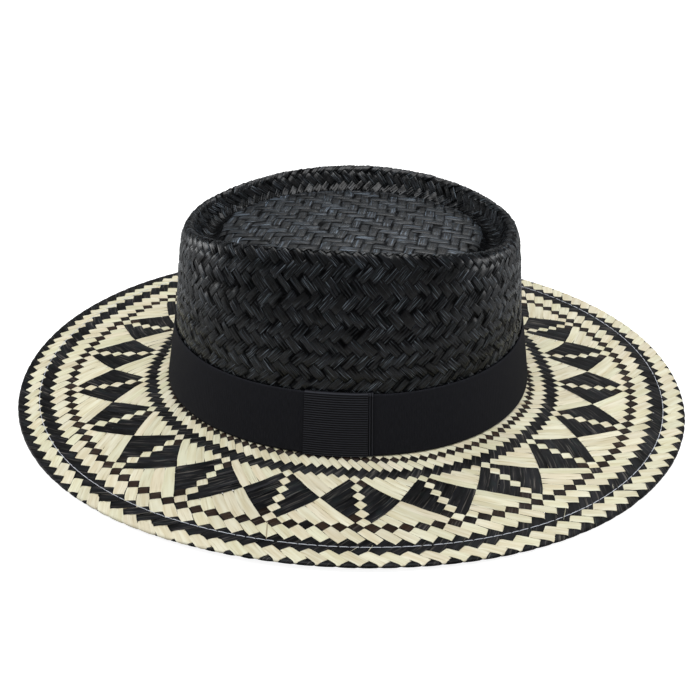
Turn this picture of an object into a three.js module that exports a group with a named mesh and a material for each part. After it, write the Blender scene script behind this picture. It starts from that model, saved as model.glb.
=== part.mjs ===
import * as THREE from 'three';

// Straw hat: a plaited black crown with a telescope top, a plaited brim in natural and black
// straw, a ribbon round the crown and the short piece of ribbon wrapped over its join.
// Millimetres, +Z up. The hat rests on z = 0 with the origin under the middle of its brim.
// +X runs along the long axis of the head oval and the ribbon's wrap faces -Y.

const segmentCount = 80;
const crownWall = 2.0;
const brimWall = 2.2;
const joinGap = 0.3;
const ribbonWall = 0.9;

// Head oval where the crown meets the brim, and the outline of the brim.
const headHalfLength = 98.1;
const headHalfWidth = 87.0;
const headSquareness = 2.14;
const brimHalfLength = 183.0;
const brimHalfWidth = 156.5;
const brimRise = 9.2;
const brimRiseDecay = 1.6;
const brimFlatFrom = 0.93;

// The brim's edge waves a little and stands on three short stretches of its underside.
const edgeWave = 1.4;
const edgeFootFlat = 0.25;
const tabSideLift = 1.4;

const ribbonFootHeight = 11.6;
const ribbonTopHeight = 44.5;
const tabMiddleAngle = (-86.4 * Math.PI) / 180;
const tabHalfAngle = (8.75 * Math.PI) / 180;
const tabColumns = 6;
const tabWall = 0.9;

// Each loop of the crown's outer face is an oval, squarer on the tab side. Its height leans up
// towards that side by lean, and its two long sides stand higher than its ends by bow.
const crownLoops = [
  // length, width, squareness, tabSquareness, height, lean, bow, shiftX, shiftY
  [98.1, 87.0, 2.14, 2.14, 12.5, 0.0, 0.0, 0.0, 0.0],
  [95.2, 85.2, 2.15, 2.15, 28.5, 0.0, 0.0, 0.3, 0.0],
  [92.4, 83.5, 2.15, 2.15, 44.5, 0.0, 0.0, 0.6, 0.0],
  [91.2, 82.3, 2.15, 2.18, 56.0, 0.6, 0.5, 0.8, 0.1],
  [89.9, 80.2, 2.1, 2.22, 68.5, 1.7, 1.4, 1.0, 0.4],
  [88.5, 77.2, 2.05, 2.27, 80.5, 3.3, 2.6, 1.2, 0.8],
  [87.3, 74.4, 2.0, 2.32, 90.2, 4.7, 3.8, 1.4, 1.3],
  [86.1, 72.4, 2.0, 2.34, 96.2, 5.3, 4.3, 1.5, 1.6],
  [83.4, 70.0, 2.0, 2.35, 100.6, 5.5, 4.3, 1.6, 1.7],
  [80.0, 67.0, 2.0, 2.35, 99.6, 5.3, 4.0, 1.6, 1.7],
  [77.2, 64.4, 2.0, 2.34, 94.8, 4.9, 3.2, 1.6, 1.7],
  [73.8, 61.4, 2.0, 2.3, 90.6, 4.5, 2.2, 1.6, 1.7],
  [70.2, 58.3, 2.05, 2.25, 89.8, 4.1, 1.6, 1.6, 1.7],
  [66.8, 55.4, 2.1, 2.2, 92.0, 3.7, 1.1, 1.6, 1.7],
  [61.0, 50.4, 2.1, 2.15, 93.2, 3.3, 0.6, 1.6, 1.7],
  [44.0, 36.5, 2.1, 2.1, 94.2, 2.3, 0.2, 1.6, 1.7],
  [22.0, 18.2, 2.0, 2.0, 95.0, 1.1, 0.0, 1.6, 1.7],
];
const crownCentre = new THREE.Vector3(1.6, 1.7, 95.2);

// Fractions of the way from the head oval to the brim's edge.
const brimStations = [0.0, 0.03, 0.07, 0.12, 0.19, 0.28, 0.39, 0.52, 0.66, 0.8, 0.93];
const brimEdgeStation = 0.988;

// Inward steps from the head oval: under the crown's foot, then up as a collar inside it.
const collarOuter = [
  // inset, height
  [2.1, 11.4],
  [2.6, 12.1],
  [3.1, 14.2],
  [5.0, 25.0],
];
const collarInner = [
  [6.9, 25.0],
  [5.1, 13.2],
  [4.4, 10.8],
];

function ovalPoint(length, width, squareness, angle) {
  const c = Math.cos(angle);
  const s = Math.sin(angle);
  const power = 2 / squareness;
  return [
    length * Math.sign(c) * Math.abs(c) ** power,
    width * Math.sign(s) * Math.abs(s) ** power,
  ];
}

function loopAngles() {
  const angles = [];
  for (let i = 0; i < segmentCount; i += 1) {
    angles.push((i * 2 * Math.PI) / segmentCount);
  }
  return angles;
}

function crownLoop(row) {
  const [length, width, squareness, tabSquareness, height, lean, bow, shiftX, shiftY] = row;
  return loopAngles().map((angle) => {
    const power = Math.sin(angle) < 0 ? tabSquareness : squareness;
    const [x, y] = ovalPoint(length, width, power, angle);
    const z = height - lean * Math.sin(angle) - bow * Math.cos(2 * angle);
    return new THREE.Vector3(x + shiftX, y + shiftY, z);
  });
}

function edgeLift(angle) {
  const wave = edgeWave * (1 + Math.sin(3 * angle)) - edgeFootFlat;
  const tabSide = Math.max(0, -Math.sin(angle)) ** 4;
  return Math.max(0, wave) + tabSideLift * tabSide;
}

function brimRiseAt(fraction) {
  const end = Math.exp(-brimRiseDecay);
  return (brimRise * (Math.exp(-brimRiseDecay * fraction) - end)) / (1 - end);
}

function smoothStep(low, high, value) {
  const t = Math.min(1, Math.max(0, (value - low) / (high - low)));
  return t * t * (3 - 2 * t);
}

// A point of the brim at a height above its underside, in plan at the given fraction.
function brimPoint(fraction, above, angle) {
  const length = headHalfLength + (brimHalfLength - headHalfLength) * fraction;
  const width = headHalfWidth + (brimHalfWidth - headHalfWidth) * fraction;
  const squareness = headSquareness + (2 - headSquareness) * smoothStep(0, 0.4, fraction);
  const [x, y] = ovalPoint(length, width, squareness, angle);
  const rise = brimRiseAt(Math.min(1, fraction / brimFlatFrom));
  const lift = edgeLift(angle) * smoothStep(0.3, 1, fraction);
  return new THREE.Vector3(x, y, above + rise + lift);
}

function insetLoop(inset, height) {
  return loopAngles().map((angle) => {
    const length = headHalfLength - inset;
    const width = headHalfWidth - inset;
    const [x, y] = ovalPoint(length, width, headSquareness, angle);
    return new THREE.Vector3(x, y, height);
  });
}

// Joins a list of loops into one closed skin. With caps, the first and last loops each close on
// a single point; without them, the last loop closes on the first one.
function skinLoops(loops, firstCap, lastCap) {
  const count = loops[0].length;
  const positions = [];
  const faces = [];
  loops.flat().forEach((p) => positions.push(p.x, p.y, p.z));
  const bandCount = firstCap ? loops.length - 1 : loops.length;
  for (let j = 0; j < bandCount; j += 1) {
    const next = (j + 1) % loops.length;
    for (let i = 0; i < count; i += 1) {
      const a = j * count + i;
      const b = j * count + ((i + 1) % count);
      const c = next * count + i;
      const d = next * count + ((i + 1) % count);
      faces.push(a, b, d, a, d, c);
    }
  }
  if (firstCap) {
    const firstIndex = positions.length / 3;
    positions.push(firstCap.x, firstCap.y, firstCap.z, lastCap.x, lastCap.y, lastCap.z);
    const lastStart = (loops.length - 1) * count;
    for (let i = 0; i < count; i += 1) {
      const next = (i + 1) % count;
      faces.push(firstIndex, next, i);
      faces.push(firstIndex + 1, lastStart + i, lastStart + next);
    }
  }
  const geometry = new THREE.BufferGeometry();
  geometry.setAttribute('position', new THREE.Float32BufferAttribute(positions, 3));
  geometry.setIndex(faces);
  geometry.computeVertexNormals();
  return geometry;
}

// Moves every point of a list of loops inwards, square to the skin that they make.
function offsetLoops(loops, centre, distance) {
  const count = loops[0].length;
  const moved = loops.map((loop, j) => {
    const before = loops[Math.max(0, j - 1)];
    const after = loops[Math.min(loops.length - 1, j + 1)];
    return loop.map((point, i) => {
      const along = loop[(i + 1) % count].clone().sub(loop[(i + count - 1) % count]);
      const lastLoop = j === loops.length - 1;
      const upper = lastLoop ? centre : after[i];
      const across = upper.clone().sub(before[i]);
      const normal = along.cross(across).normalize();
      return point.clone().addScaledVector(normal, -distance);
    });
  });
  return moved;
}

function makeMesh(name, geometry, colour, roughness) {
  const material = new THREE.MeshStandardMaterial({ color: colour, roughness, metalness: 0 });
  const mesh = new THREE.Mesh(geometry, material);
  mesh.name = name;
  return mesh;
}

function makeCrown() {
  const outer = crownLoops.map(crownLoop);
  const inner = offsetLoops(outer, crownCentre, crownWall);
  const innerCentre = crownCentre.clone();
  innerCentre.z -= crownWall;
  const loops = [...inner.reverse(), ...outer];
  const geometry = skinLoops(loops, innerCentre, crownCentre);
  return makeMesh('crown', geometry, 0x1d1e22, 0.55);
}

function makeBrim() {
  const angles = loopAngles();
  const topLoop = (f) => angles.map((angle) => brimPoint(f, brimWall, angle));
  const lowLoop = (f) => angles.map((angle) => brimPoint(f, 0, angle));
  const collarLoop = (row) => insetLoop(row[0], row[1]);
  const loops = [
    ...collarInner.map(collarLoop).reverse(),
    ...collarOuter.map(collarLoop).reverse(),
    ...brimStations.map(topLoop),
    angles.map((angle) => brimPoint(brimEdgeStation, brimWall - 0.2, angle)),
    angles.map((angle) => brimPoint(1, brimWall / 2, angle)),
    angles.map((angle) => brimPoint(brimEdgeStation, 0, angle)),
    ...brimStations.map(lowLoop).reverse(),
  ];
  return makeMesh('brim', skinLoops(loops.reverse()), 0xd9cdb0, 0.6);
}

// A point at a distance outside the crown's wall, between its first and third loops.
function wallPoint(height, out, angle) {
  const [foot, , top] = crownLoops;
  const t = (height - foot[4]) / (top[4] - foot[4]);
  const mix = (k) => foot[k] + (top[k] - foot[k]) * t;
  const [x, y] = ovalPoint(mix(0) + out, mix(1) + out, mix(2), angle);
  return new THREE.Vector3(x + mix(7), y, height);
}

function wallLoop(height, out) {
  return loopAngles().map((angle) => wallPoint(height, out, angle));
}

function makeRibbon() {
  const middle = (ribbonFootHeight + ribbonTopHeight) / 2;
  const outside = joinGap + ribbonWall;
  const loops = [
    wallLoop(ribbonTopHeight, joinGap),
    wallLoop(middle, joinGap),
    wallLoop(ribbonFootHeight, joinGap),
    wallLoop(ribbonFootHeight, outside),
    wallLoop(middle, outside),
    wallLoop(ribbonTopHeight, outside),
  ];
  return makeMesh('hat_band', skinLoops(loops), 0x14151a, 0.75);
}

// The wrap hugs the ribbon's outer face and turns in over its top edge.
function makeTab() {
  const near = 2 * joinGap + ribbonWall;
  const far = near + tabWall;
  const section = [
    // height, distance outside the crown's wall
    [ribbonTopHeight + joinGap + tabWall, joinGap],
    [ribbonTopHeight + joinGap, joinGap],
    [ribbonTopHeight + joinGap, near],
    [ribbonFootHeight + 0.2, near],
    [ribbonFootHeight + 0.2, far],
    [ribbonTopHeight, far],
    [ribbonTopHeight + joinGap + tabWall, near],
  ];
  const columns = [];
  for (let k = 0; k <= tabColumns; k += 1) {
    const angle = tabMiddleAngle + tabHalfAngle * ((2 * k) / tabColumns - 1);
    columns.push(section.map(([height, out]) => wallPoint(height, out, angle)));
  }
  const positions = [];
  const faces = [];
  columns.flat().forEach((p) => positions.push(p.x, p.y, p.z));
  const size = section.length;
  for (let k = 0; k < columns.length - 1; k += 1) {
    for (let i = 0; i < size; i += 1) {
      const a = k * size + i;
      const b = k * size + ((i + 1) % size);
      faces.push(a, a + size, b, b, a + size, b + size);
    }
  }
  const last = (columns.length - 1) * size;
  const ends = [[0, 1, 2], [0, 2, 6], [2, 3, 4], [2, 4, 5], [2, 5, 6]];
  ends.forEach(([i, j, k]) => {
    faces.push(i, j, k);
    faces.push(last + i, last + k, last + j);
  });
  const geometry = new THREE.BufferGeometry();
  geometry.setAttribute('position', new THREE.Float32BufferAttribute(positions, 3));
  geometry.setIndex(faces);
  geometry.computeVertexNormals();
  return makeMesh('band_tab', geometry, 0x1b1c22, 0.7);
}

const hat = new THREE.Group();
hat.add(makeCrown(), makeBrim(), makeRibbon(), makeTab());

export default hat;
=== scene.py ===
import math

import bpy
import numpy as np
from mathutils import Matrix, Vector


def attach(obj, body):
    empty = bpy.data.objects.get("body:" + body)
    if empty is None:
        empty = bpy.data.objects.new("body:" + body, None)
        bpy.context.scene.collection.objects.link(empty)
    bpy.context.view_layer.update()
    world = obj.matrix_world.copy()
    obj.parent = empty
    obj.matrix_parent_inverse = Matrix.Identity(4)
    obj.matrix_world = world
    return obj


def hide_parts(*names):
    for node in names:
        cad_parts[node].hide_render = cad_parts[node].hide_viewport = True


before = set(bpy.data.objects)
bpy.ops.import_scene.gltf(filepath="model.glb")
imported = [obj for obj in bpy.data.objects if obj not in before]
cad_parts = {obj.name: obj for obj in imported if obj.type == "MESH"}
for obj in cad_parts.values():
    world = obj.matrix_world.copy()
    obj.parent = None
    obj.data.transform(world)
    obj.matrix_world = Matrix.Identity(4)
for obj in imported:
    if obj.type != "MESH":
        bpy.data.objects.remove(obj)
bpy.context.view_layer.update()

mm = 0.001

# Sizes of the hat in millimetres, the same as in the CAD model.
hatForm = {
    "headHalf": (98.1, 87.0),  # half its length and half its width
    "headSquareness": 2.14,
    "brimHalf": (183.0, 156.5),
    "brimRise": 9.2,
    "riseDecay": 1.6,
    "flatFrom": 0.93,
    "edgeWave": 1.4,
    "footFlat": 0.25,
    "tabSideLift": 1.4,
    "ribbonFoot": 11.6,
    "ribbonTop": 44.5,
    "joinGap": 0.3,
}

# length, width, squareness, tab side squareness, height, lean, bow, shift x, shift y
crownLoops = np.array([
    [98.1, 87, 2.14, 2.14, 12.5, 0, 0, 0, 0],
    [95.2, 85.2, 2.15, 2.15, 28.5, 0, 0, 0.3, 0],
    [92.4, 83.5, 2.15, 2.15, 44.5, 0, 0, 0.6, 0],
    [91.2, 82.3, 2.15, 2.18, 56, 0.6, 0.5, 0.8, 0.1],
    [89.9, 80.2, 2.1, 2.22, 68.5, 1.7, 1.4, 1, 0.4],
    [88.5, 77.2, 2.05, 2.27, 80.5, 3.3, 2.6, 1.2, 0.8],
    [87.3, 74.4, 2, 2.32, 90.2, 4.7, 3.8, 1.4, 1.3],
    [86.1, 72.4, 2, 2.34, 96.2, 5.3, 4.3, 1.5, 1.6],
    [83.4, 70, 2, 2.35, 100.6, 5.5, 4.3, 1.6, 1.7],
    [80, 67, 2, 2.35, 99.6, 5.3, 4, 1.6, 1.7],
    [77.2, 64.4, 2, 2.34, 94.8, 4.9, 3.2, 1.6, 1.7],
    [73.8, 61.4, 2, 2.3, 90.6, 4.5, 2.2, 1.6, 1.7],
    [70.2, 58.3, 2.05, 2.25, 89.8, 4.1, 1.6, 1.6, 1.7],
    [66.8, 55.4, 2.1, 2.2, 92, 3.7, 1.1, 1.6, 1.7],
    [61, 50.4, 2.1, 2.15, 93.2, 3.3, 0.6, 1.6, 1.7],
    [44, 36.5, 2.1, 2.1, 94.2, 2.3, 0.2, 1.6, 1.7],
    [22, 18.2, 2, 2, 95, 1.1, 0, 1.6, 1.7],
    [0.6, 0.5, 2, 2, 95.2, 0, 0, 1.6, 1.7],
])


def ovalPoint(length, width, squareness, angle):
    c = np.cos(angle)
    s = np.sin(angle)
    power = 2 / squareness
    return length * np.sign(c) * np.abs(c) ** power, width * np.sign(s) * np.abs(s) ** power


def roundOval(length, width, squareness, angle):
    # The same oval with its points spread evenly, also where it crosses its axes.
    c = np.cos(angle)
    s = np.sin(angle)
    reach = (np.abs(c) ** squareness + np.abs(s) ** squareness) ** (-1 / squareness)
    return length * reach * c, width * reach * s


def smoothStep(low, high, value):
    t = np.clip((value - low) / (high - low), 0, 1)
    return t * t * (3 - 2 * t)


def smoothBetween(before, low, high, after, t):
    return 0.5 * (
        2 * low + (high - before) * t + (2 * before - 5 * low + 4 * high - after) * t ** 2
        + (3 * low - before - 3 * high + after) * t ** 3
    )


def blendTo(low, high, share):
    return low + (high - low) * share


def unit(vectors):
    return vectors / np.maximum(np.linalg.norm(vectors, axis=-1, keepdims=True), 1e-9)


def travelAlong(points):
    # How far each point of a line is from its start.
    return np.concatenate([[0], np.cumsum(np.linalg.norm(np.diff(points, axis=0), axis=1))])


cameraSetup = {
    "azimuth": 7.37,
    "elevation": 31.0,
    "distance": 0.535,
    "target": (0.00105, 0.00014, 0.01795),
    "lens": 49.5,
}


def aimObject(thing, direction):
    thing.rotation_mode = "QUATERNION"
    thing.rotation_quaternion = direction.to_track_quat("-Z", "Y")


def makeCamera(setup):
    azimuth = math.radians(setup["azimuth"])
    elevation = math.radians(setup["elevation"])
    back = Vector((
        math.sin(azimuth) * math.cos(elevation),
        -math.cos(azimuth) * math.cos(elevation),
        math.sin(elevation),
    ))
    bpy.ops.object.camera_add(location=Vector(setup["target"]) + back * setup["distance"])
    camera = bpy.context.object
    camera.name = "hat_camera"
    aimObject(camera, -back)
    camera.data.lens = setup["lens"]
    camera.data.sensor_width = 36
    camera.data.clip_start = 0.02
    camera.data.clip_end = 30
    bpy.context.scene.camera = camera


makeCamera(cameraSetup)
print("camera made")

# Area lights: place, aim and size in metres, power in watts.
studioLights = {
    "top_softbox": {"place": (0.0, -0.3, 1.28), "aim": (0, 0, 0.03), "size": (1.2, 1.2), "power": 21},
    "back_softbox": {"place": (0.1, 0.95, 1.2), "aim": (0, 0, 0.08), "size": (0.8, 0.8), "power": 5.5},
    "left_softbox": {"place": (-1.3, 0.15, 0.17), "aim": (0, 0, 0.08), "size": (0.9, 0.28), "power": 4.4},
    "right_softbox": {"place": (1.3, 0.25, 0.17), "aim": (0, 0, 0.08), "size": (0.9, 0.28), "power": 4.0},
}


def makeLights(lights):
    for name, setup in lights.items():
        bpy.ops.object.light_add(type="AREA", location=setup["place"])
        light = bpy.context.object
        light.name = name
        light.data.shape = "RECTANGLE"
        light.data.size, light.data.size_y = setup["size"]
        light.data.energy = setup["power"]
        aimObject(light, Vector(setup["aim"]) - Vector(setup["place"]))
    world = bpy.data.worlds.new("studio")
    world.use_nodes = True
    maker = NodeMaker(world.node_tree)
    seen = maker.add("ShaderNodeLightPath").outputs["Is Camera Ray"]
    background = world.node_tree.nodes["Background"]
    maker.link(maker.mix(seen, (0.28, 0.28, 0.28), (1, 1, 1)), background.inputs["Color"])
    background.inputs["Strength"].default_value = 1
    bpy.context.scene.world = world
    bpy.context.scene.view_settings.view_transform = "Standard"
    bpy.context.scene.view_settings.look = "None"


class NodeMaker:
    # Short calls for adding and joining nodes in one node tree.
    def __init__(self, tree):
        self.tree = tree

    def add(self, kind, **values):
        node = self.tree.nodes.new(kind)
        for key, value in values.items():
            setattr(node, key, value)
        return node

    def link(self, source, target):
        self.tree.links.new(source, target)

    def attribute(self, name):
        return self.add("ShaderNodeAttribute", attribute_name=name).outputs["Fac"]

    def math(self, operation, first, second=None):
        node = self.add("ShaderNodeMath", operation=operation)
        self.put(first, node.inputs[0])
        self.put(second, node.inputs[1])
        return node.outputs[0]

    def mix(self, factor, first, second):
        node = self.add("ShaderNodeMix", data_type="RGBA")
        for socket, value in (("Factor", factor), ("A", first), ("B", second)):
            self.put(value, node.inputs[socket])
        return node.outputs["Result"]

    def band(self, value, fromLow, fromHigh, toLow, toHigh):
        # Carries a value over from one range to another, and stops at its ends.
        node = self.add("ShaderNodeMapRange")
        self.put(value, node.inputs["Value"])
        ends = {"From Min": fromLow, "From Max": fromHigh, "To Min": toLow, "To Max": toHigh}
        for socket, end in ends.items():
            node.inputs[socket].default_value = end
        return node.outputs["Result"]

    def cover(self, base, colour, mask, low, high, most=1):
        # Lays a colour over the base, more and more as the mask goes from low to high.
        return self.mix(self.band(mask, low, high, 0, most), base, colour)

    def noise(self, vector, scale, detail, roughness=0.5):
        node = self.add("ShaderNodeTexNoise", noise_dimensions="3D")
        self.link(vector, node.inputs["Vector"])
        node.inputs["Scale"].default_value = scale
        node.inputs["Detail"].default_value = detail
        node.inputs["Roughness"].default_value = roughness
        return node.outputs["Fac"]

    def stretch(self, vector, scale):
        node = self.add("ShaderNodeMapping")
        self.link(vector, node.inputs["Vector"])
        node.inputs["Scale"].default_value = scale
        return node.outputs["Vector"]

    def put(self, value, socket):
        if value is None:
            return
        if isinstance(value, bpy.types.NodeSocket):
            self.link(value, socket)
        elif isinstance(value, tuple):
            socket.default_value = (*value, 1) if len(value) == 3 else value
        else:
            socket.default_value = value


makeLights(studioLights)
print("lights made")


# Noise along and across a strip, in waves a metre, and its detail.
fibrePatterns = {
    "Hair": (90, 2300, 1), "Fine": (65, 1150, 2), "Broad": (45, 350, 1), "Mottle": (150, 240, 2),
}


def makeFibreGroup(patterns):
    # Lengthwise fibres of a straw strip: u runs along the strip and v across it, in metres.
    group = bpy.data.node_groups.new("strawFibres", "ShaderNodeTree")
    group.interface.new_socket("Strip", in_out="INPUT", socket_type="NodeSocketVector")
    for name in (*patterns, "Relief"):
        group.interface.new_socket(name, in_out="OUTPUT", socket_type="NodeSocketFloat")
    maker = NodeMaker(group)
    source = maker.add("NodeGroupInput").outputs["Strip"]
    target = maker.add("NodeGroupOutput")
    values = {}
    for name, (along, across, detail) in patterns.items():
        values[name] = maker.noise(maker.stretch(source, (along, across, 1)), 1.0, detail)
    halves = (maker.math("MULTIPLY", values[name], 0.5) for name in ("Fine", "Broad"))
    values["Relief"] = maker.math("ADD", *halves)
    for name, value in values.items():
        maker.link(value, target.inputs[name])
    return group


fibreGroup = makeFibreGroup(fibrePatterns)


def startMaterial(name, roughness, specular):
    material = bpy.data.materials.new(name)
    material.use_nodes = True
    shader = material.node_tree.nodes["Principled BSDF"]
    shader.inputs["Roughness"].default_value = roughness
    shader.inputs["Specular IOR Level"].default_value = specular
    return material, NodeMaker(material.node_tree), shader


def addBump(maker, shader, height, strength, distance):
    bump = maker.add("ShaderNodeBump")
    bump.inputs["Strength"].default_value = strength
    bump.inputs["Distance"].default_value = distance
    maker.link(height, bump.inputs["Height"])
    maker.link(bump.outputs["Normal"], shader.inputs["Normal"])


def addFibres(maker):
    uv = maker.add("ShaderNodeUVMap", uv_map="strip").outputs["UV"]
    node = maker.add("ShaderNodeGroup")
    node.node_tree = fibreGroup
    maker.link(uv, node.inputs["Strip"])
    return node.outputs


def finishStraw(maker, shader, base, fibres, finish):
    # Each float of a strip gets its own shade, and a dull or bright patch here and there.
    value = maker.add("ShaderNodeHueSaturation")
    maker.link(base, value.inputs["Color"])
    maker.link(maker.band(maker.attribute("tone"), 0, 1, *finish["shades"]), value.inputs["Value"])
    maker.link(value.outputs["Color"], shader.inputs["Base Color"])
    maker.link(maker.band(fibres["Mottle"], 0.3, 0.7, *finish["roughness"]), shader.inputs["Roughness"])
    addBump(maker, shader, fibres["Relief"], *finish["relief"])


naturalStraw = {
    "pale": (0.66, 0.64, 0.5),
    "cream": (0.56, 0.51, 0.35),
    "tan": (0.36, 0.29, 0.16),
    # edge is painted shade for the gaps between the strips, and also a loose straw's own darker colour
    "edge": (0.2, 0.15, 0.08),
    "green": (0.52, 0.55, 0.36),
    "pink": (0.6, 0.5, 0.39),
    "shades": (0.87, 0.99),
    "roughness": (0.48, 0.66),
    "relief": (0.5, 0.0003),
}


def makeNaturalStraw(straw):
    material, maker, shader = startMaterial("natural_straw", 0.55, 0.3)
    fibres = addFibres(maker)
    warm = maker.attribute("warm")
    base = maker.cover(straw["pale"], straw["cream"], fibres["Broad"], 0.35, 0.65)
    base = maker.cover(base, straw["pink"], warm, 0.5, 1.0, 0.28)
    base = maker.cover(base, straw["green"], warm, 0.5, 0.0, 0.3)
    base = maker.cover(base, straw["tan"], fibres["Fine"], 0.56, 0.74, 0.65)
    # painted shade in the gaps between the strips; a loose straw gets its own darker colour from it
    base = maker.cover(base, straw["edge"], maker.attribute("hollowShadeAndDark"), 0.4, 1.0, 0.85)
    finishStraw(maker, shader, base, fibres, straw)
    return material


blackStraw = {
    # deep is the darkest fibre colour, and is also laid as painted shade in the gaps between the strips
    "deep": (0.0015, 0.0017, 0.0021),
    "black": (0.0075, 0.008, 0.0098),
    # the pale fibre colours are partly the straw's grain and partly painted glints
    "fibreGlint": (0.105, 0.122, 0.145),
    "hairGlint": (0.17, 0.19, 0.21),
    "brown": (0.02, 0.011, 0.008),
    "green": (0.009, 0.018, 0.018),
}
brimBlack = {**blackStraw, "fibreGlint": (0.12, 0.112, 0.102), "brown": (0.026, 0.014, 0.008)}

# The gloss is a tinted coat. glint and the hair strength say how strongly broad and fine fibres stand out
# pale against the dark ones, partly the straw's grain and partly painted glints. Relief is how strong the
# bump is and its depth in metres.
blackFinishes = {
    "black_straw": {
        "colours": brimBlack, "tint": (1.0, 0.93, 0.84, 1.0), "gloss": 0.2, "roughness": (0.34, 0.54),
        "shades": (0.5, 1.6), "glint": 0.5, "hairGlints": 0, "relief": (1.0, 0.0004),
    },
    # The crown's wall and top are one straw in two copies: the wall's is painted darker, the top's is
    # painted brighter with stronger glints, as the top is lit more.
    "crown_wall_straw_painted_shade": {
        "colours": blackStraw, "tint": (0.78, 0.9, 1.0, 1.0), "gloss": 0.6, "roughness": (0.18, 0.34),
        "shades": (0.2, 1.0), "glint": 0.25, "hairGlints": 0.8, "relief": (1.0, 0.0022),
    },
    "crown_top_straw_painted_lit": {
        "colours": blackStraw, "tint": (0.78, 0.9, 1.0, 1.0), "gloss": 0.72, "roughness": (0.26, 0.4),
        "shades": (0.2, 1.8), "glint": 0.9, "hairGlints": 0.6, "relief": (1.0, 0.0022),
    },
}


def makeBlackStraw(name, finish):
    material, maker, shader = startMaterial(name, 0.45, 0.03)
    shader.inputs["Coat Roughness"].default_value = sum(finish["roughness"]) / 2
    shader.inputs["Coat Tint"].default_value = finish["tint"]
    fibres = addFibres(maker)
    colours, hairGlints = finish["colours"], finish["hairGlints"]
    hollowShadeAndDark = maker.attribute("hollowShadeAndDark")
    base = maker.cover(colours["deep"], colours["black"], fibres["Broad"], 0.38, 0.62)
    # pale fibres, partly grain and partly painted glints
    base = maker.cover(base, colours["fibreGlint"], fibres["Fine"], 0.56, 0.7, finish["glint"])
    base = maker.cover(base, colours["green"], fibres["Mottle"], 0.55, 0.72, 0.35)
    if hairGlints:
        base = maker.cover(base, colours["deep"], fibres["Hair"], 0.44, 0.3, 0.8)
        base = maker.cover(base, colours["hairGlint"], fibres["Hair"], 0.6, 0.72, hairGlints)
    base = maker.cover(base, colours["brown"], maker.attribute("warm"), 0.5, 1.0, 0.75)
    # painted shade darkens the gaps between the strips, and the coat leaves them dull
    base = maker.cover(base, colours["deep"], hollowShadeAndDark, 0.1, 0.75, 0.85)
    maker.link(maker.band(hollowShadeAndDark, 0.05, 0.6, finish["gloss"], 0), shader.inputs["Coat Weight"])
    finishStraw(maker, shader, base, fibres, finish)
    return material


ribbonCloth = {
    "dark": (0.0062, 0.0065, 0.0085),
    "light": (0.0138, 0.0143, 0.0183),
    # the rib colour is a painted highlight on the rib crests, and the groove colour painted shade between
    # them
    "rib": (0.038, 0.04, 0.048),
    "grooveShade": (0.002, 0.0021, 0.0028),
    "dust": (0.03, 0.031, 0.036),
}


def makeRibbonCloth(name, colours, threadScale, ribPitch):
    # Fine threads, with a little dust. Across the ribs there is a painted highlight on each crest and
    # painted shade in each groove.
    material, maker, shader = startMaterial(name, 0.8, 0.1)
    uv = maker.add("ShaderNodeUVMap", uv_map="strip").outputs["UV"]
    threads = maker.noise(maker.stretch(uv, threadScale), 1.0, 2.0, 0.6)
    dust = maker.noise(maker.stretch(uv, (900, 900, 1)), 1.0, 3.0, 0.7)
    base = maker.cover(colours["dark"], colours["light"], threads, 0.3, 0.7)
    if ribPitch:
        up = maker.add("ShaderNodeSeparateXYZ")
        maker.link(uv, up.inputs["Vector"])
        wave = maker.math("SINE", maker.math("MULTIPLY", up.outputs["Y"], math.tau / ribPitch))
        faded = maker.band(threads, 0.3, 0.7, 0.5, 1)
        crestHighlight = maker.math("MULTIPLY", maker.band(wave, 0, 0.9, 0, 1), faded)
        base = maker.mix(crestHighlight, base, colours["rib"])
        base = maker.cover(base, colours["grooveShade"], wave, -0.1, -0.8, 0.85)
    base = maker.cover(base, colours["dust"], dust, 0.68, 0.8, 0.5)
    maker.link(base, shader.inputs["Base Color"])
    maker.link(maker.band(threads, 0.3, 0.7, 0.72, 0.88), shader.inputs["Roughness"])
    addBump(maker, shader, threads, 0.35, 0.00015)
    return material


stitchThread = {"shade": (0.44, 0.47, 0.54), "light": (0.7, 0.73, 0.78)}


def makeThread(colours):
    material, maker, shader = startMaterial("stitch_thread", 0.6, 0.3)
    place = maker.add("ShaderNodeTexCoord").outputs["Object"]
    twist = maker.noise(place, 2500, 2.0)
    base = maker.cover(colours["shade"], colours["light"], twist, 0.3, 0.7)
    maker.link(base, shader.inputs["Base Color"])
    addBump(maker, shader, twist, 0.4, 0.0001)
    return material


# The card's size and its depth under the hat are in metres.
floorCard = {
    "size": 12, "depth": 0.0002, "grain": 40, "glow": 0.9,
    "dark": (0.44, 0.44, 0.44), "light": (0.46, 0.46, 0.46),
}


def makeFloorCard(card):
    # The card is bright to the camera alone, so that it throws no light up at the hat.
    material, maker, shader = startMaterial("floor_card", 0.9, 0.1)
    place = maker.add("ShaderNodeTexCoord").outputs["Object"]
    grain = maker.noise(place, card["grain"], 2.0)
    maker.link(maker.mix(grain, card["dark"], card["light"]), shader.inputs["Base Color"])
    seen = maker.add("ShaderNodeLightPath").outputs["Is Camera Ray"]
    maker.link(maker.mix(seen, (0, 0, 0), (1, 1, 1)), shader.inputs["Emission Color"])
    shader.inputs["Emission Strength"].default_value = card["glow"]
    return material


naturalMaterial = makeNaturalStraw(naturalStraw)
blackMaterial, paintedShadeWallMaterial, paintedLitTopMaterial = (makeBlackStraw(*pair) for pair in blackFinishes.items())
bandMaterial = makeRibbonCloth("ribbon_cloth", ribbonCloth, (5200, 260, 1), 0)
tabMaterial = makeRibbonCloth("wrap_cloth", ribbonCloth, (260, 5200, 1), 0.00123)
threadMaterial = makeThread(stitchThread)
print("materials made")


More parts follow.
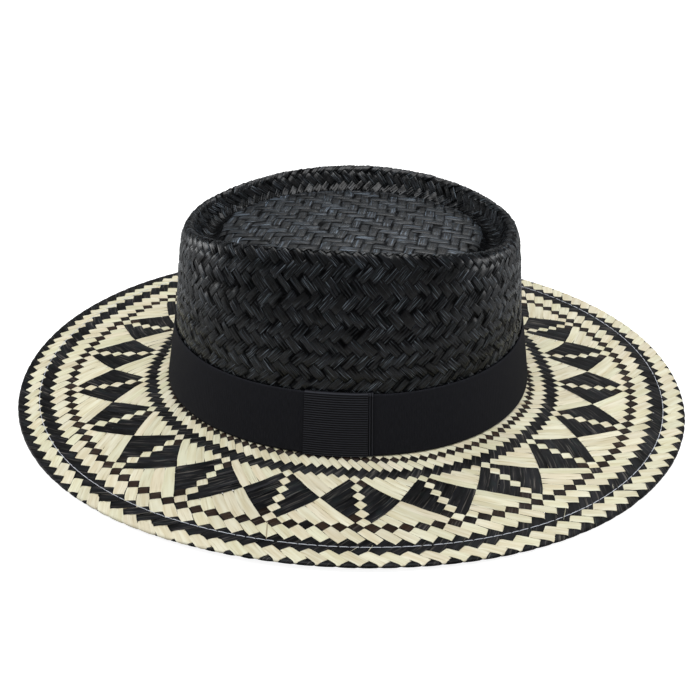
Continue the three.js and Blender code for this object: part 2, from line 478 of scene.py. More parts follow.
# Across a strip, as shares of half its width and heights in mm: a crowned top, a flat back.
brimSection = {
    "across": np.array([-1, -0.6, 0, 0.6, 1, 0.9, -0.9]),
    "height": np.array([0, 0.14, 0.17, 0.14, 0, -0.19, -0.19]),
    "middle": 2,
}
# The crown's straw is split into three fibres.
splitSection = {
    "across": np.array([-1, -0.7, -0.36, -0.03, 0.34, 0.66, 1, 0.9, -0.9]),
    "height": np.array([-0.14, 0.12, -0.07, 0.16, -0.05, 0.13, -0.14, -0.22, -0.22]),
    "middle": 3,
}
# On the flat top it is whole, with edges that fall off steeply.
topSection = {
    "across": np.array([-1, -0.76, -0.4, 0, 0.4, 0.76, 1, 0.9, -0.9]),
    "height": np.array([-0.34, 0.09, 0.15, 0.17, 0.14, 0.09, -0.34, -0.4, -0.4]),
    "middle": 3,
}


def flipIfInsideOut(mesh):
    mesh.calc_loop_triangles()
    corners = np.zeros(len(mesh.loop_triangles) * 3, dtype=np.int32)
    mesh.loop_triangles.foreach_get("vertices", corners)
    places = np.zeros(len(mesh.vertices) * 3)
    mesh.vertices.foreach_get("co", places)
    a, b, c = places.reshape(-1, 3)[corners.reshape(-1, 3)].transpose(1, 0, 2)
    if np.einsum("ij,ij->", a, np.cross(b, c)) < 0:
        mesh.flip_normals()


def makePiece(name, points, faces, material, smoothAngle, uvs=None):
    # points and uvs, one for each point, are in mm.
    mesh = bpy.data.meshes.new(name)
    mesh.from_pydata((points.reshape(-1, 3) * mm).tolist(), [], faces)
    mesh.update()
    flipIfInsideOut(mesh)
    if uvs is not None:
        corner = np.zeros(len(mesh.loops), dtype=np.int32)
        mesh.loops.foreach_get("vertex_index", corner)
        layer = mesh.uv_layers.new(name="strip")
        layer.data.foreach_set("uv", (uvs.reshape(-1, 2) * mm)[corner].astype(np.float32).ravel())
    mesh.materials.append(material)
    piece = bpy.data.objects.new(name, mesh)
    bpy.context.collection.objects.link(piece)
    bpy.ops.object.select_all(action="DESELECT")
    piece.select_set(True)
    bpy.context.view_layer.objects.active = piece
    bpy.ops.object.shade_smooth_by_angle(angle=math.radians(smoothAngle))
    return piece


def barFaces(first, rows, size):
    # The sides and the two ends of a closed bar of rings, numbered from its first point.
    low = first + np.arange((rows - 1) * size).reshape(-1, size)
    after = np.roll(low, -1, axis=1)
    sides = np.stack([low, after, after + size, low + size], -1).reshape(-1, 4)
    return sides, np.stack([low[0, ::-1], low[-1] + size])


class StripPile:
    # Gathers many strips, each a closed bar of rings, into one mesh. A ring's points are
    # given in the two values that the surface below them is drawn with.
    def __init__(self, surface, section, hollowRise):
        self.surface = surface
        self.section = section
        self.hollowRise = hollowRise
        self.strips = []

    def addStrip(self, first, second, rise, tone, warm, buried=0):
        # Painted shade: a spot is darkened by how far it lies down in the plait, or is buried near a
        # strip's end. A loose straw gives its own darker colour here instead.
        hollowShadeAndDark = np.maximum(1 - smoothStep(*self.hollowRise, rise), buried)
        self.strips.append((first, second, rise, tone, warm, hollowShadeAndDark))

    def build(self, name, material, uvStep=17.0):
        # uvStep sets the strips apart in the fibre pattern, in mm.
        first, second, rise, tone, warm, hollowShadeAndDark = (np.concatenate(part) for part in zip(*self.strips))
        place, normal = self.surface(first, second)
        points = place + normal * rise[..., None]
        size = first.shape[1]
        middle = place[:, self.section["middle"]]
        v = np.linalg.norm(place - middle[:, None], axis=2) * np.sign(self.section["across"])
        bars, uvs = [], []
        base = 0
        for number, strip in enumerate(self.strips):
            rows = len(strip[0])
            along = np.repeat(travelAlong(middle[base:base + rows])[:, None], size, axis=1)
            uvs.append(np.stack([along, v[base:base + rows] + number * uvStep], -1))
            bars.append(barFaces(base * size, rows, size))
            base += rows
        sides, ends = (np.concatenate(part).tolist() for part in zip(*bars))
        piece = makePiece(name, points, sides + ends, material, 50, np.concatenate(uvs))
        for key, values in (("tone", tone), ("warm", warm), ("hollowShadeAndDark", hollowShadeAndDark)):
            attribute = piece.data.attributes.new(key, "FLOAT", "POINT")
            attribute.data.foreach_set("value", values.astype(np.float32).ravel())
        return piece


def flatPairs(rows, flatShare):
    # A strip keeps its height for a share of the way to both sides of each crossing.
    return np.sort(np.concatenate([rows - flatShare, rows + flatShare]))


def drawFloats(plait, onTop, random):
    # The floats of one strip, and what chance gives them.
    runs, runLength = floatRuns(onTop)
    height = np.where(onTop, plait["rowHeight"], -plait["rowHeight"])
    height = height + random.normal(0, plait["heightNoise"], len(onTop))
    tone = random.random(runs.max() + 1)[runs]
    warm = random.random(runs.max() + 1)[runs] * plait["warmest"]
    noises = ("twistNoise", "asideNoise", "broadNoise")
    twist, aside, broad = (random.normal(0, plait[noise], len(onTop)) for noise in noises)
    return runs, runLength, height, tone, warm, twist, aside, 1 + broad


def plaitStrip(pile, plait, number, turn, rows, onTop, samples, square, random, buried=0):
    # Adds one strip of a diagonal plait. It crosses the other family at whole rows, over it
    # where onTop says so. Its rings lie along the crossing strips, or along the rows where
    # square is 1.
    runs, runLength, height, tone, warm, twist, aside, broad = drawFloats(plait, onTop, random)
    firstInRun = np.array([np.argmax(runs == r) for r in runs])
    inRun = (rows - rows[firstInRun] + 0.5) / runLength
    bulge = plait["bulge"] * np.minimum(runLength - 1, 3) * np.sin(np.pi * inRun)
    height = height + np.where(onTop, bulge, -0.3 * bulge)
    short = onTop & (runLength == 1)
    if turn < 0:  # the short black floats are the brownest
        warm = np.where(runLength == 1, 0.55 + 0.45 * warm, 0.5 * warm)
    broad = broad + random.normal(0, plait["broadNoise"]) + plait["shortSwell"] * short
    pairRows = flatPairs(rows, plait["flatShare"])
    ends = np.ones(2 * len(rows))  # a float narrows a little where it dives under the next strip
    turns = np.flatnonzero(onTop[1:] != onTop[:-1])
    pinch = plait["pinch"][turn]
    ends[2 * turns + 1] -= np.where(short[turns], 0, pinch)
    ends[2 * turns + 2] -= np.where(short[turns + 1], 0, pinch)
    width = np.interp(samples, rows, broad) * np.interp(samples, pairRows, ends)
    share = 0.5 * plait["widthShare"][turn] * width[:, None] * pile.section["across"]
    reach = share + np.interp(samples, rows, aside)[:, None]
    own = samples[:, None] + square[:, None] * turn * reach
    row = own - turn * reach
    column = number + turn * own / 2 + reach / 2
    pairs = lambda values: np.interp(own, pairRows, np.repeat(values, 2))
    rise = pairs(height) + pile.section["height"] + np.interp(own, rows, twist) * plait["pitch"] * share
    pile.addStrip(row, column, rise, pairs(tone), pairs(warm), buried)


def floatRuns(onTop):
    # Numbers the runs of equal values along a strip, and gives each run's length.
    change = np.concatenate([[0], np.cumsum(onTop[1:] != onTop[:-1])]).astype(int)
    lengths = np.bincount(change)
    return change, lengths[change]


brimPlait = {
    "strips": 132,
    "pitch": 4.6,
    "firstAngle": 2.71,
    "growth": 0.0238,
    "ring": (132.4, 114.3),
    "ringShift": (2.1, -0.7),
    "edgeRow": 13.4,
    "headRow": -12.08,
    "rowHeight": 0.225,
    "hollowRise": (-0.06, 0.3),
    "flatShare": 0.3,
    "widthShare": {1: 1.03, -1: 1.05},
    "pinch": {1: 0.1, -1: 0.05},
    "shortSwell": 0.05,
    "heightNoise": 0.022,
    "twistNoise": 0.035,
    "asideNoise": 0.022,
    "broadNoise": 0.027,
    "bulge": 0.05,
    "warmest": 1.0,
    "middleHeight": 1.62,
    "foldRadius": 0.55,
    "foldFraction": 0.987,
    "hemDepth": 13.2,
    "span": 77.0,
}

# How far the hand-made plait strays outward from even rings, in rows, at every 15 degrees
# round from the left: near the head, at the middle ring, at the row of dark diamonds, at
# the dark band beyond it and at the edge. The last value is its lean, in columns for ten rows.
plaitDrift = [
    (-2.3, 0.3, 0.55, 0.8, 0.3, -0.4), (-1.45, 0.75, 0.9, 0.95, 0.15, -0.3),
    (-1.15, 0.5, 0.6, 0.6, 0, -0.4), (-0.9, 0.65, 0.9, 0.8, 0.2, -0.4),
    (-0.7, 0.65, 1.45, 1.55, 1.5, -0.2), (-0.7, -0.3, 0.85, 1, 0.85, 0.1),
    (-1.15, -0.8, -0.3, 0.38, 0.28, 0.1), (-0.4, -0.2, -0.1, 0.56, 0.2, 0.4),
    (0.25, -0.1, -0.15, 0.34, 0.05, 0.7), (0.25, 0.45, 0, -0.1, -0.5, 0.7),
    (0.1, 0.3, 0.05, 0, -0.25, 0.8), (0, 0.1, -0.2, -0.1, -0.15, 1),
    (-0.85, 0.1, 0, 0.2, 0.15, 1.1), (-1.85, 0.05, 0.2, 0.45, 0.6, 0.9),
    (-1.7, 0.1, -0.1, 0.4, 0.85, 0.6), (-1.4, 0, -0.1, 0.45, 0.85, 0.3),
    (-1.2, 0, 0, 0.3, 0.7, 0), (-1.2, 0, 0, 0.1, 0.4, 0),
    (-1.2, 0, 0, 0, 0.2, 0), (-1.2, 0, 0, 0.1, 0.1, 0),
    (-1.2, 0, 0, 0.2, 0.1, 0), (-1.3, -0.2, -0.1, 0.45, 0.1, 0),
    (-1.6, -0.2, -0.15, 0.3, -0.2, -0.2), (-2.2, 0, 0.25, 0.6, 0.05, -0.4),
]
driftRows = np.array([-20, -10, -6.5, 0, 6, 9.5, 12.5, 20])

# Columns of six, doubled, where the natural strip lies on top, by distance from the ring row.
motifRows = [(), (4, 10), (3, 5), (2, 4, 6, 10), (1, 3, 5, 7), (0, 2, 4, 6, 8, 10)]
naturalRows = (-16, -15, -12, -11, -9, -8, 7, 8, 11, 12, 15, 16, 19, 20)

# The collar inside the crown's foot, from its join with the brim: inset and height in mm.
collarPath = [
    (0.0, 10.82), (0.9, 10.86), (1.7, 11.05), (2.3, 11.6),
    (2.65, 12.5), (2.85, 14.0), (3.2, 17.0), (4.2, 25.2),
]


def brimOval(fraction):
    pairs = zip(hatForm["headHalf"], hatForm["brimHalf"])
    length, width = (blendTo(head, brim, fraction) for head, brim in pairs)
    return length, width, blendTo(hatForm["headSquareness"], 2, smoothStep(0, 0.4, fraction))


def brimRiseAt(fraction):
    end = math.exp(-hatForm["riseDecay"])
    share = np.minimum(1, fraction / hatForm["flatFrom"])
    return hatForm["brimRise"] * (np.exp(-hatForm["riseDecay"] * share) - end) / (1 - end)


def edgeLift(angle):
    wave = hatForm["edgeWave"] * (1 + np.sin(3 * angle)) - hatForm["footFlat"]
    return np.maximum(0, wave) + hatForm["tabSideLift"] * np.maximum(0, -np.sin(angle)) ** 4


def makeBrimPath(plait):
    # Middle of the plait from the collar's top out to the edge, round it and back under.
    span, middle, radius, fold = (plait[k] for k in ("span", "middleHeight", "foldRadius", "foldFraction"))
    collar = np.array(collarPath)
    lengths = travelAlong(collar)
    inner = np.arange(-lengths[-1], 0, 0.1)
    flat = np.arange(0, fold * span, 0.1)
    turn = np.arange(0, math.pi * radius, 0.05)
    hem = np.arange(0, plait["hemDepth"] + 0.4, 0.1)
    foldStart = fold * span
    foldEnd = foldStart + math.pi * radius
    travel = np.concatenate([inner, flat, foldStart + turn, foldEnd + hem])
    fraction = np.concatenate([
        -np.interp(-inner, lengths, collar[:, 0]) / span,
        flat / span,
        fold + radius * np.sin(turn / radius) / span,
        fold - hem / span,
    ])
    level = np.concatenate([
        np.interp(-inner, lengths, collar[:, 1]),
        middle + brimRiseAt(flat / span),
        middle - radius + radius * np.cos(turn / radius),
        middle - 2 * radius + brimRiseAt(fold - hem / span),
    ])
    outward = np.gradient(fraction * span, travel)
    upward = np.gradient(level, travel)
    size = np.hypot(outward, upward)
    return {
        "travel": travel, "fraction": fraction, "level": level,
        "normalOut": -upward / size, "normalUp": outward / size,
        "start": travel[0] + 0.2, "foldStart": foldStart, "end": foldEnd + plait["hemDepth"],
    }


brimPath = makeBrimPath(brimPlait)


def brimSurface(travel, angle):
    names, known = ("fraction", "level", "normalOut", "normalUp"), brimPath["travel"]
    fraction, level, normalOut, normalUp = (np.interp(travel, known, brimPath[name]) for name in names)
    length, width, squareness = brimOval(fraction)
    x, y = roundOval(length, width, squareness, angle)
    z = level + edgeLift(angle) * smoothStep(0.3, 1, fraction)
    outX = np.sign(x) * np.abs(x / length) ** (squareness - 1) / length
    outY = np.sign(y) * np.abs(y / width) ** (squareness - 1) / width
    size = np.hypot(outX, outY)
    normal = np.stack([normalOut * outX / size, normalOut * outY / size, normalUp], -1)
    return np.stack([x, y, z], -1), unit(normal)


def plaitPlan(row, angle):
    # Where a row of the brim's plait runs in plan, around the middle ring of the border.
    plait = brimPlait
    growth = plait["growth"]
    outer = (np.exp(growth * row) - 1) / (math.exp(growth * plait["edgeRow"]) - 1)
    inner = (1 - np.exp(growth * row)) / (1 - math.exp(growth * plait["headRow"]))
    outside = row >= 0
    share = np.where(outside, outer, inner)
    length, width = (
        blendTo(ring, np.where(outside, brim, head), share)
        for ring, brim, head in zip(plait["ring"], hatForm["brimHalf"], hatForm["headHalf"])
    )
    fade = np.where(outside, 1, 1 - share)
    squareness = np.where(outside, 2, blendTo(2, hatForm["headSquareness"], share))
    x, y = roundOval(length, width, squareness, angle)
    return x + plait["ringShift"][0] * fade, y + plait["ringShift"][1] * fade


def solveBrimFraction(x, y):
    low = np.full(x.shape, -0.25)
    high = np.full(x.shape, 1.6)
    for _ in range(34):
        middle = (low + high) / 2
        length, width, squareness = brimOval(middle)
        outside = np.abs(x / length) ** squareness + np.abs(y / width) ** squareness > 1
        low = np.where(outside, middle, low)
        high = np.where(outside, high, middle)
    length, width, squareness = brimOval(low)
    return low, np.arctan2(y / width, x / length)


driftTable = np.array([(1.15 * d[0] - 0.45,) * 2 + d[:5] + d[4:5] for d in plaitDrift])
leanTable = np.array([d[5] / 10 for d in plaitDrift])


def rowDrift(row, angle):
    step = (np.degrees(angle) / 15 + 12) % 24
    index = np.floor(step).astype(int)
    knot = np.clip(np.searchsorted(driftRows, row) - 1, 0, len(driftRows) - 2)
    share = (row - driftRows[knot]) / (driftRows[knot + 1] - driftRows[knot])
    near = []
    for o in (-1, 0, 1, 2):
        table = driftTable[(index + o) % 24]
        low, high = (np.take_along_axis(table, knot[..., None] + k, -1)[..., 0] for k in (0, 1))
        near.append(blendTo(low, high, share))
    lean = smoothBetween(*(leanTable[(index + o) % 24] for o in (-1, 0, 1, 2)), step - index)
    return smoothBetween(*near, step - index), lean * np.clip(row, -9, 10)


def brimCoordinates(row, column):
    columnAngle = math.tau / brimPlait["strips"]
    angle = brimPlait["firstAngle"] + (column - 2) * columnAngle
    drift, lean = rowDrift(row, angle)
    angle = angle + lean * columnAngle
    return solveBrimFraction(*plaitPlan(row + drift, angle))


def brimPlace(row, column):
    fraction, angle = brimCoordinates(row, column)
    return brimSurface(fraction * brimPlait["span"], angle)


def naturalOnTop(row, doubledColumn):
    distance = abs(row)
    if distance <= 5:
        return (doubledColumn % 12) in motifRows[distance]
    return row in naturalRows


def layBrimStrips(plait, turn, seed):
    # Natural strips run to the left on their way out with turn 1, black ones the other way.
    random = np.random.default_rng(seed)
    numbers = np.arange(plait["strips"]) + 0.5
    rows = np.arange(driftRows[0], driftRows[-1] + 1).astype(int)
    dense = np.arange(driftRows[0], driftRows[-1] + 0.01, 0.1)
    columns = numbers[:, None] + turn * dense / 2
    fraction, _ = brimCoordinates(np.broadcast_to(dense, columns.shape), columns)
    pairRows = flatPairs(rows, plait["flatShare"])
    foldSteps = brimPath["foldStart"] + np.array([-0.8, 0, 0.43, 0.86, 1.3, 1.73, 2.6])
    pile = StripPile(brimPlace, brimSection, plait["hollowRise"])
    for n, number in enumerate(numbers):
        toRow = lambda distance: np.interp(distance, fraction[n] * plait["span"], dense)
        start, end, folds = toRow(brimPath["start"]), toRow(brimPath["end"]), toRow(foldSteps)
        doubled = np.round(2 * number + turn * rows).astype(int)
        natural = np.array([naturalOnTop(int(k), int(c)) for k, c in zip(rows, doubled)])
        samples = np.concatenate([
            [start],
            pairRows[(pairRows > start + 0.15) & (pairRows < folds[0] - 0.9)],
            np.arange(folds[0] - 0.7, folds[0] - 0.1, 0.23),
            folds,
            np.arange(folds[-1] + 0.25, end - 0.12, 0.3),
            [end],
        ])
        atEdge = smoothStep(folds[0] - 2.0, folds[0] - 0.9, samples)
        square = atEdge + 1 - smoothStep(start, start + 1.2, samples)
        onTop = natural if turn > 0 else ~natural
        plaitStrip(pile, plait, number, turn, rows, onTop, samples, square, random)
    return pile


naturalBrim = layBrimStrips(brimPlait, 1, 21).build("brim_natural_strips", naturalMaterial)
blackBrim = layBrimStrips(brimPlait, -1, 22).build("brim_black_strips", blackMaterial)
print("brim plait:", len(naturalBrim.data.polygons), len(blackBrim.data.polygons), "faces")


# Loose bits of straw that lie on the front of the brim: where each starts and ends, as a
# share of the way out and an angle in degrees, half its width in mm and how dark it is.
looseStraws = [
    (0.826, -95.9, 0.662, -97.1, 0.36, 0.85), (0.88, -83.4, 0.826, -82.0, 0.13, 0),
    (0.884, -80.9, 0.816, -79.9, 0.13, 0), (0.868, -48.9, 0.79, -46.2, 0.16, 0),
    (0.842, -35.7, 0.816, -34.7, 0.16, 0),
]
strawSection = {
    "across": np.array([-1, 0, 1, 0]),
    "height": np.array([0.44, 0.58, 0.44, 0.38]),
    "middle": 1,
}


def layLooseStraws(straws):
    pile = StripPile(brimSurface, strawSection, (0, 0.1))
    share = np.linspace(0, 1, 9)[:, None]
    across = strawSection["across"]
    for start, startAngle, end, endAngle, half, dark in straws:
        fraction = start + (end - start) * share
        angle = np.radians(startAngle + (endAngle - startAngle) * share)
        taper = half * np.minimum(1, 0.35 + 3 * share * (1 - share))  # mm, narrower at its ends
        length, width, _ = brimOval(fraction)
        turn = taper * across / np.hypot(length * np.sin(angle), width * np.cos(angle))
        bow = 0.25 * np.sin(math.pi * share) * half
        rise = bow + strawSection["height"] + np.zeros_like(turn)
        tone, warm = np.full_like(rise, 1 - dark), np.full_like(rise, 0.5)
        travel = fraction * brimPlait["span"] + np.zeros_like(turn)
        pile.addStrip(travel, angle + turn, rise, tone, warm, dark)
    return pile


looseBits = layLooseStraws(looseStraws).build("loose_straws", naturalMaterial)
print("loose straws laid")


hemStitches = {
    "inset": 11.5, "period": 4.6, "periodNoise": 0.2, "length": 4.45, "lengthNoise": 0.25,
    "radius": 0.14, "endTaper": 0.35, "height": 0.56, "endSink": 0.24, "sides": 6, "rings": 6,
}


def makeHemStitches(stitch):
    angle = np.linspace(0, math.tau, 4000, endpoint=False)
    length, width = hatForm["brimHalf"]
    outX, outY = np.cos(angle) / length, np.sin(angle) / width
    size = np.hypot(outX, outY)
    x = length * np.cos(angle) - outX / size * stitch["inset"]
    y = width * np.sin(angle) - outY / size * stitch["inset"]
    fraction, oval = solveBrimFraction(x, y)
    loop = np.concatenate(brimSurface(fraction * brimPlait["span"], oval), axis=1)
    loop = np.concatenate([loop, loop[:1]])  # places, then normals
    travel = travelAlong(loop[:, :3])
    count = int(round(travel[-1] / stitch["period"]))
    random = np.random.default_rng(5)
    sides, rings = stitch["sides"], stitch["rings"]
    share = np.linspace(-1, 1, rings)[:, None]
    corner = math.tau * np.arange(sides) / sides
    radius = stitch["radius"] * (1 - stitch["endTaper"] * share ** 4)
    rise = np.sin(corner) * radius + stitch["height"] - stitch["endSink"] * share ** 4
    aside = np.cos(corner) * radius
    points, faces = [], []
    for i in range(count):
        start = i * travel[-1] / count + random.normal(0, stitch["periodNoise"])
        where = start + np.linspace(0, stitch["length"] + random.normal(0, stitch["lengthNoise"]), rings)
        where = np.mod(where, travel[-1])
        spot = np.stack([np.interp(where, travel, values) for values in loop.T], -1)
        middle, up = spot[:, :3], unit(spot[:, 3:])
        side = np.cross(up, unit(np.gradient(middle, axis=0)))
        points.append(middle[:, None] + side[:, None] * aside[..., None] + up[:, None] * rise[..., None])
        for part in barFaces(i * rings * sides, rings, sides):
            faces += part.tolist()
    return makePiece("hem_stitches", np.concatenate(points), faces, threadMaterial, 60)


stitches = makeHemStitches(hemStitches)
for piece in (naturalBrim, blackBrim, looseBits, stitches):
    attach(piece, "root")
    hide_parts("brim")
print("hem stitches made")


crownPlait = {
    "strips": 96,
    "pitch": 4.6,
    "rowStep": 2.85,
    "rowHeight": 0.32,
    "hollowRise": (0.04, 0.42),
    "flatShare": 0.28,
    "widthShare": {1: 1.12, -1: 1.12},
    "pinch": {1: 0.05, -1: 0.05},
    "shortSwell": 0,
    "heightNoise": 0.08,
    "twistNoise": 0.1,
    "asideNoise": 0.035,
    "broadNoise": 0.04,
    "bulge": 0.05,
    "warmest": 0.45,
    "sink": 0.62,
    "lastLoop": 14.0,
    "deepLoops": (12.7, 13.5),  # where the strips go down under the top's own
    "deeper": 0.9,
    # rows before the last over which painted shade darkens the strips' ends, buried under the top
    "buriedShadeRows": (-5.2, -3.2),
    "endShort": (0.3, 0.6),
}


def loopValues(position):
    # Smooth values between the table's loops.
    last = len(crownLoops) - 1
    position = np.clip(position, 0, last)
    index = np.minimum(np.floor(position).astype(int), last - 1)
    near = (crownLoops[np.clip(index + o, 0, last)] for o in (-1, 0, 1, 2))
    return smoothBetween(*near, (position - index)[..., None])


def crownPoint(position, angle):
    values = loopValues(position)
    length, width, squareness, tabSquareness, height, lean, bow, shiftX, shiftY = np.moveaxis(values, -1, 0)
    c, s = np.cos(angle), np.sin(angle)
    power = np.where(s < 0, tabSquareness, squareness)
    x, y = roundOval(length, width, power, angle)
    turn = np.arctan2(np.sign(s) * np.abs(s) ** (power / 2), np.sign(c) * np.abs(c) ** (power / 2))
    z = height - lean * np.sin(turn) - bow * np.cos(2 * turn)
    return np.stack([x + shiftX, y + shiftY, z], -1)


def crownSurface(position, angle):
    step, turn = 0.03, 0.012
    low = np.maximum(position - step, 0)
    up = crownPoint(position + step, angle) - crownPoint(low, angle)
    around = crownPoint(position, angle + turn) - crownPoint(position, angle - turn)
    normal = unit(np.cross(around, up))
    sink = crownPlait["sink"] + crownPlait["deeper"] * smoothStep(*crownPlait["deepLoops"], position)
    return crownPoint(position, angle) - normal * sink[..., None], normal


def crownRows(plait):
    positions = np.linspace(0, plait["lastLoop"], 400)
    angles = np.linspace(0, math.tau, 24, endpoint=False)
    grid = np.stack([crownPoint(positions, np.full_like(positions, a)) for a in angles])
    lengths = np.linalg.norm(np.diff(grid, axis=1), axis=2).mean(axis=0)
    travel = np.concatenate([[0], np.cumsum(lengths)])
    return positions, travel / plait["rowStep"]


crownPositions, rowAt = crownRows(crownPlait)


def crownPlace(row, column):
    return crownSurface(np.interp(row, rowAt, crownPositions), column * 2 * math.pi / crownPlait["strips"])


def layCrownStrips(plait, turn, seed):
    random = np.random.default_rng(seed)
    last = rowAt[-1]
    rows = np.arange(-2, int(last) + 3)
    pairRows = flatPairs(rows, plait["flatShare"])
    firstOnTop = (rows // 2) % 2 == 0
    pile = StripPile(crownPlace, splitSection, plait["hollowRise"])
    for n in range(plait["strips"]):
        end = last - plait["endShort"][0] - random.random() * plait["endShort"][1]
        samples = pairRows[(pairRows > 0.15) & (pairRows < end - 0.12)]
        samples = np.concatenate([[0.0], samples, [end]])
        square = 1 - smoothStep(0.2, 1.8, samples)
        # painted shade darkens each strip towards its end, where it goes under the top's strips
        buried = smoothStep(last + plait["buriedShadeRows"][0], last + plait["buriedShadeRows"][1], samples)[:, None]
        onTop = firstOnTop if turn > 0 else ~firstOnTop
        plaitStrip(pile, plait, n + 0.5, turn, rows, onTop, samples, square, random, buried)
    return pile


topPlait = {
    "pitch": 5.1,
    "reach": (68.0, 56.5),
    "squareness": 2.1,
    "rowHeight": 0.32,
    "hollowRise": (0.16, 0.44),
    "edgeLoops": (12.2, 12.9),
    "edgeDrop": 0.55,
    "halfShare": 0.54,
    "offsetNoise": 0.15,
    "endNoise": 1.6,
    "heightNoise": 0.06,
    "twistNoise": 0.07,
    "asideNoise": 0.22,
    "broadNoise": 0.05,
    "warmest": 0.4,
}


def solveCrownPosition(x, y):
    low = np.full(x.shape, 11.9)
    high = np.full(x.shape, 17.0)
    for _ in range(30):
        middle = (low + high) / 2
        values = loopValues(middle)
        offX, offY = x - values[..., 7], y - values[..., 8]
        power = np.where(offY < 0, values[..., 3], values[..., 2])
        outside = np.abs(offX / values[..., 0]) ** power + np.abs(offY / values[..., 1]) ** power > 1
        high = np.where(outside, middle, high)
        low = np.where(outside, low, middle)
    values = loopValues(low)
    return low, np.arctan2((y - values[..., 8]) / values[..., 1], (x - values[..., 7]) / values[..., 0])


def topHeight(x, y):
    position, angle = solveCrownPosition(x, y)
    return crownPoint(position, angle)[..., 2], position


def topSurface(x, y):
    z, position = topHeight(x, y)
    slopeX = (topHeight(x + 0.4, y)[0] - z) / 0.4
    slopeY = (topHeight(x, y + 0.4)[0] - z) / 0.4
    drop = crownPlait["sink"] + topPlait["edgeDrop"] * (1 - smoothStep(*topPlait["edgeLoops"], position))
    return np.stack([x, y, z - drop], -1), unit(np.stack([-slopeX, -slopeY, np.ones_like(z)], -1))


def layTopStrips(plait, seed):
    # The flat middle of the top is plaited square, with each strip over two and under two.
    random = np.random.default_rng(seed)
    pitch, power, across = plait["pitch"], plait["squareness"], topSection["across"]
    pile = StripPile(topSurface, topSection, plait["hollowRise"])
    centreX, centreY = crownLoops[-1][7:]
    for way in (0, 1):
        alongReach, acrossReach = plait["reach"][way], plait["reach"][1 - way]
        number = int(acrossReach // pitch)
        for j in range(-number, number + 1):
            offset = (j + 0.5) * pitch + random.normal(0, plait["offsetNoise"])
            if abs(offset) > acrossReach - 2:
                continue
            half = alongReach * (1 - abs(offset / acrossReach) ** power) ** (1 / power)
            low = -half + random.random() * plait["endNoise"]
            high = half - random.random() * plait["endNoise"]
            cells = np.arange(math.floor(low / pitch) - 1, math.ceil(high / pitch) + 2)
            onTop = ((cells + j) // 2) % 2 == way
            _, _, height, tone, warm, twist, aside, broad = drawFloats(plait, onTop, random)
            centres = (cells + 0.5) * pitch
            pairs = flatPairs(centres, pitch / 4)
            where = np.concatenate([[low], pairs[(pairs > low + 0.5) & (pairs < high - 0.5)], [high]])
            if len(where) < 4:
                continue
            half = plait["halfShare"] * pitch * np.interp(where, centres, broad)
            along = np.repeat(where[:, None], len(across), axis=1)
            sideways = (offset + np.interp(where, centres, aside))[:, None] + half[:, None] * across
            x, y = (along, sideways) if way == 0 else (sideways, along)
            spread = lambda values: np.interp(along, pairs, np.repeat(values, 2))
            rise = spread(height) + topSection["height"]
            rise = rise + np.interp(along, centres, twist) * half[:, None] * across
            # all strips wander together in slow waves, as nothing is quite straight
            x = x + 1.3 * np.sin(y / 19 + 1)
            y = y + 1.1 * np.sin(x / 23 + 2)
            pile.addStrip(x + centreX, y + centreY, rise, spread(tone), spread(warm))
    return pile


crownLeft = layCrownStrips(crownPlait, 1, 31).build("crown_left_strips", paintedShadeWallMaterial)
crownRight = layCrownStrips(crownPlait, -1, 32).build("crown_right_strips", paintedShadeWallMaterial)
crownTop = layTopStrips(topPlait, 33).build("crown_top_strips", paintedLitTopMaterial)
for piece in (crownLeft, crownRight, crownTop):
    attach(piece, "root")
    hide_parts("crown")
print("crown plait:", sum(len(p.data.polygons) for p in (crownLeft, crownRight, crownTop)), "faces")


ribbonSetup = {"ribPitch": 1.23, "ribDepth": 0.05, "thickness": 0.55, "selvedge": 1.3, "rounding": 0.16}
wrapSetup = {
    "middleAngle": -86.4,
    "halfAngle": 8.75,
    "halfWidth": 13.2,
    "ribPitch": 1.23,
    "ribDepth": 0.12,
    "thickness": 0.6,
    "faceEnd": 0.82,  # shares of half the width: the flat face ends, and the folds start
    "foldStart": 0.845,
    "foldPitch": 0.0775,
    "foldDepth": 0.6,
    "sideLift": 0.16,
}


def wallPoint(height, out, angle):
    foot, top = crownLoops[0], crownLoops[2]
    t = (height - foot[4]) / (top[4] - foot[4])
    mix = lambda k: blendTo(foot[k], top[k], t)
    x, y = ovalPoint(mix(0) + out, mix(1) + out, mix(2), angle)
    return np.stack([x + mix(7), y, height + 0 * x], -1)


def gridPiece(name, grid, uvs, material, closedAround):
    # grid is rows x columns x 3. The rows close on themselves, and the columns may too, or
    # else flat strips of faces close their two ends.
    rows, columns = grid.shape[:2]
    index = np.arange(rows * columns).reshape(rows, columns)
    up = np.roll(index, -1, axis=0)
    faces = np.stack([index, np.roll(index, -1, axis=1), np.roll(up, -1, axis=1), up], -1)
    if closedAround:
        faces = faces.reshape(-1, 4)
    else:
        r = np.arange(rows // 2 - 1)
        ends = np.stack([index[r], index[r + 1], index[rows - 2 - r], index[rows - 1 - r]], -1)
        faces = np.concatenate([faces[:, :-1].reshape(-1, 4), ends[:, 0], ends[:, -1, ::-1]])
    return makePiece(name, grid, faces.tolist(), material, 60, uvs)


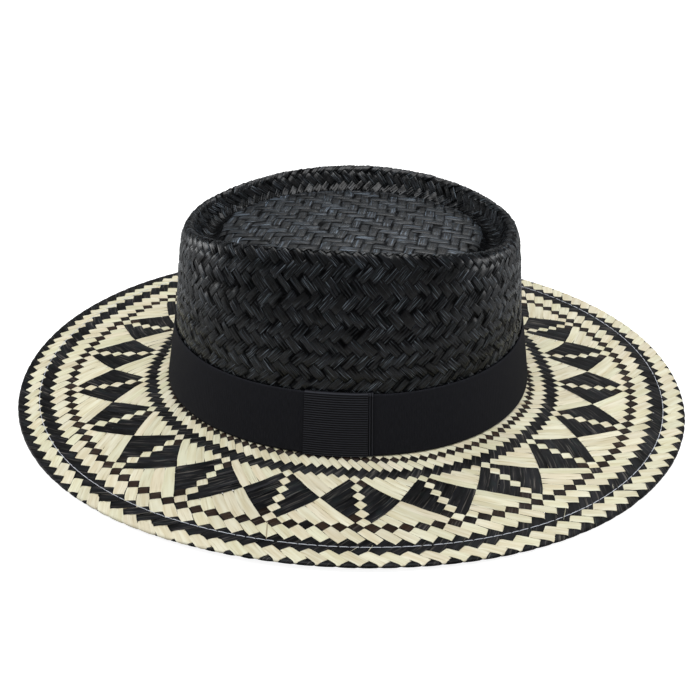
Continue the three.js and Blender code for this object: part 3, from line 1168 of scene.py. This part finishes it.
def makeBand(setup):
    dense = np.linspace(0, math.tau, 3601)
    travel = travelAlong(wallPoint(28.0, 0.8, dense))
    perimeter = travel[-1]
    ribs = int(round(perimeter / setup["ribPitch"]))
    around = np.arange(ribs * 4) * perimeter / (ribs * 4)
    angle = np.interp(around, travel, dense)
    foot, top, edge = hatForm["ribbonFoot"], hatForm["ribbonTop"], setup["selvedge"]
    steps = (0, 0.15, edge * 0.8, edge)
    outside = [foot + s for s in steps] + [20, 28, 36] + [top - s for s in reversed(steps)]
    inside = [top, 36, 28, 20, foot]
    grid, uvs = [], []
    wave = 0.12 * np.sin(7 * angle + 1) + 0.08 * np.sin(17 * angle)
    for i, z in enumerate(outside + inside):
        out = hatForm["joinGap"]
        if i < len(outside):
            edgeShare = min(z - foot, top - z)
            rib = setup["ribDepth"] * np.cos(math.tau * around / perimeter * ribs) * (edgeShare >= edge)
            out = out + setup["thickness"] + rib - setup["rounding"] * (edgeShare < 0.05)
        height = z + (0.5 * wave if z > 30 else 0) + 0 * angle
        grid.append(wallPoint(height, out + 0.05 * wave, angle))
        uvs.append(np.stack([around, height], -1))
    return gridPiece("ribbon_band", np.array(grid), np.array(uvs), bandMaterial, True), perimeter


band, bandLength = makeBand(ribbonSetup)
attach(band, "root")
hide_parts("hat_band")
print("ribbon made, length", round(bandLength))


def makeWrap(setup):
    foot, top = hatForm["ribbonFoot"] + 0.3, hatForm["ribbonTop"]
    gap = hatForm["joinGap"]
    near = 2 * gap + ribbonSetup["thickness"] + 0.1
    far = near + setup["thickness"]
    pitch = setup["ribPitch"]
    # On the right the end of the cloth is turned under in narrow upright folds.
    share = np.concatenate([np.linspace(-1, setup["faceEnd"], 34), np.linspace(setup["foldStart"], 1, 22)])
    onFolds = share > setup["faceEnd"] + 0.01
    foldTurn = (share - setup["foldStart"]) / setup["foldPitch"]
    folds = np.where(onFolds, 0.5 - 0.5 * np.cos(math.tau * foldTurn), 0)
    angle = np.radians(setup["middleAngle"] + setup["halfAngle"] * share)
    heights = np.arange(foot, top - 0.5, pitch / 4)
    # Height and distance out from the wall: up the face, over the top edge and down behind.
    face = [(z, far + setup["ribDepth"] * math.cos(math.tau * (z - foot) / pitch)) for z in heights]
    lip = [(top - 0.1, far), (top + 0.55, far - 0.15), (top + 0.95, near - 0.1), (top + 1.0, gap + 0.35)]
    under = [(top + 0.8, gap), (top + 0.35, gap), (top + 0.4, near - 0.2), (top + 0.1, near)]
    back = [(z, near) for z in heights[::-1]]
    sides = setup["sideLift"] * np.exp(-((1 - np.abs(share)) / 0.05) ** 2)
    grid, uvs = [], []
    for i, (z, out) in enumerate(face + lip + under + back):
        lift = sides / 2
        if i < len(face):
            lift = sides + np.where(onFolds, far - out - setup["foldDepth"] * (1 - folds), 0)
        grid.append(wallPoint(z + 0 * angle, out + (lift if out > near else 0), angle))
        # on the folds the rib pattern follows the fold turns, so its painted highlight lies on each fold's
        # ridge and its painted shade in each valley
        ribPlace = np.where(onFolds, (foldTurn - 0.25) * pitch, z - foot + 0.25 * pitch)
        uvs.append(np.stack([share * setup["halfWidth"], ribPlace], -1))
    return gridPiece("wrap_band", np.array(grid), np.array(uvs), tabMaterial, False)


wrap = makeWrap(wrapSetup)
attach(wrap, "root")
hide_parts("band_tab")
print("wrap made")


bpy.ops.object.select_all(action="DESELECT")
bpy.ops.mesh.primitive_plane_add(size=floorCard["size"], location=(0, 0, -floorCard["depth"]))
floor = bpy.context.object
floor.name = "floor_card"
floor.data.materials.append(makeFloorCard(floorCard))
print("floor made")
